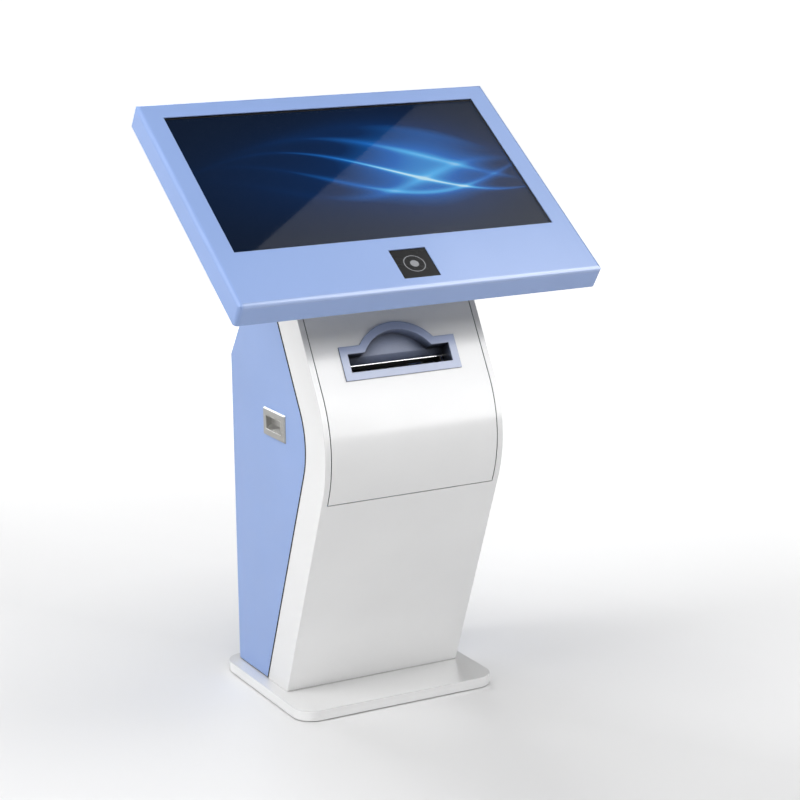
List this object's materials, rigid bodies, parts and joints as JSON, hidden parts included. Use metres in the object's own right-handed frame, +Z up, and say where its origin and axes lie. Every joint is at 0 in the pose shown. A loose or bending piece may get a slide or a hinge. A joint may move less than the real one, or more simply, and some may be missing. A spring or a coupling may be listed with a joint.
{
  "type": "payment kiosk",
  "caption": "Floor-standing payment kiosk: a sloping touch-screen head with a contactless reader on an S-fronted cabinet with a drop-down printer door and a hinged side panel",
  "frame": {"origin": "On the floor under the middle of the base", "axes": "+X the user's right, -Y the front, +Z up"},
  "size_m": [0.787, 0.515, 1.2076],
  "materials": {
    "blue_paint": "satin powder coat",
    "white_paint": "satin powder coat",
    "bezel_plastic": "satin moulded plastic",
    "nickel": "satin nickel plate",
    "steel": "bright steel",
    "zinc_steel": "zinc-plated sheet",
    "ballast_steel": "mill-finish plate",
    "black_plastic": "moulded plastic",
    "rubber": "moulded rubber",
    "touch_glass": "clear coated glass",
    "card_window": "polished dark acrylic",
    "display": "display surface",
    "circuit_board": "solder-masked board",
    "brass": "turned brass",
    "gear_plastic": "moulded acetal",
    "motor_black": "black enamel",
    "cutter_grey": "grey enamel",
    "aluminium": "extruded aluminium",
    "dark_aluminium": "dark anodised",
    "spindle_plastic": "moulded plastic",
    "paper": "thermal paper"
  },
  "bodies": {
    "cabinet": {"ballast_plate": "ballast_steel", "base_cover": "white_paint", "cable_grommet": "rubber", "card_reader": "black_plastic", "card_window": "card_window", "controller": "dark_aluminium", "controller_shelf": "zinc_steel", "display_board": "circuit_board", "fan_frame": "black_plastic", "feed_motor": "motor_black", "frame_posts": "zinc_steel", "front_catches": "black_plastic", "front_hinge_brackets": "zinc_steel", "front_hinge_pins": "steel", "front_shell": "white_paint", "glass_gasket": "rubber", "head_bezel": "blue_paint", "head_rear_cover": "blue_paint", "lcd_panel": "display", "lcd_rails": "zinc_steel", "neck_bolts": "steel", "neck_housing": "blue_paint", "neck_plate": "zinc_steel", "panel_spacers": "zinc_steel", "paper_cutter": "cutter_grey", "platen_bushes": "brass", "power_inlet": "black_plastic", "power_supply": "aluminium", "print_head": "aluminium", "printer_chassis": "zinc_steel", "printer_shelf": "zinc_steel", "rear_panel": "blue_paint", "right_side_panel": "blue_paint", "roll_holders": "zinc_steel", "side_catches": "black_plastic", "side_hinge_fixed_leaves": "steel", "side_hinge_pins": "steel", "touch_glass": "touch_glass"},
    "front_door": {"front_door": "white_paint", "printer_bezel": "bezel_plastic", "tear_bar": "steel", "paper_throat": "black_plastic", "front_hinge_arms": "steel", "front_strikes": "steel"},
    "side_door": {"side_door": "blue_paint", "side_pull": "nickel", "side_hinge_door_leaves": "steel", "side_strikes": "steel"},
    "paper_roll": {"paper_roll": "paper", "roll_spindle": "spindle_plastic"},
    "platen": {"platen_roller": "rubber", "platen_shaft": "steel", "platen_gear": "gear_plastic"},
    "idler": {"idler_gear": "gear_plastic"},
    "pinion": {"motor_pinion": "brass"},
    "fan": {"fan_rotor": "black_plastic"},
    "rocker": {"power_rocker": "black_plastic"}
  },
  "joints": [
    {"name": "front_door_hinge", "type": "hinge", "parent": "cabinet", "child": "front_door", "pos_m": [0, -0.22111, 0.42598], "axis": [1, 0, 0], "range_deg": [0, 80]},
    {"name": "side_door_hinge", "type": "hinge", "parent": "cabinet", "child": "side_door", "pos_m": [-0.1825, 0.1699, 0.355], "axis": [0, 0, -1], "range_deg": [0, 110]},
    {"name": "paper_roll_spin", "type": "hinge", "parent": "cabinet", "child": "paper_roll", "pos_m": [0, 0.00641, 0.636], "axis": [1, 0, 0], "continuous": true},
    {"name": "platen_spin", "type": "hinge", "parent": "cabinet", "child": "platen", "pos_m": [0, -0.12159, 0.65077], "axis": [1, 0, 0], "continuous": true},
    {"name": "idler_spin", "type": "hinge", "parent": "cabinet", "child": "idler", "pos_m": [0.119, -0.12159, 0.62567], "axis": [1, 0, 0], "continuous": true},
    {"name": "pinion_spin", "type": "hinge", "parent": "cabinet", "child": "pinion", "pos_m": [0.119, -0.12159, 0.60357], "axis": [1, 0, 0], "continuous": true},
    {"name": "fan_spin", "type": "hinge", "parent": "cabinet", "child": "fan", "pos_m": [-0.065, 0.164, 0.21], "axis": [0, 1, 0], "continuous": true},
    {"name": "rocker_tilt", "type": "hinge", "parent": "cabinet", "child": "rocker", "pos_m": [0.1, 0.163, 0.078], "axis": [1, 0, 0], "range_deg": [-18, 0]}
  ],
  "couplings": [
    {"joint": "platen_spin", "follows": "paper_roll_spin", "ratio": -6.4444},
    {"joint": "idler_spin", "follows": "paper_roll_spin", "ratio": 5.9487},
    {"joint": "pinion_spin", "follows": "paper_roll_spin", "ratio": -8.5926}
  ]
}
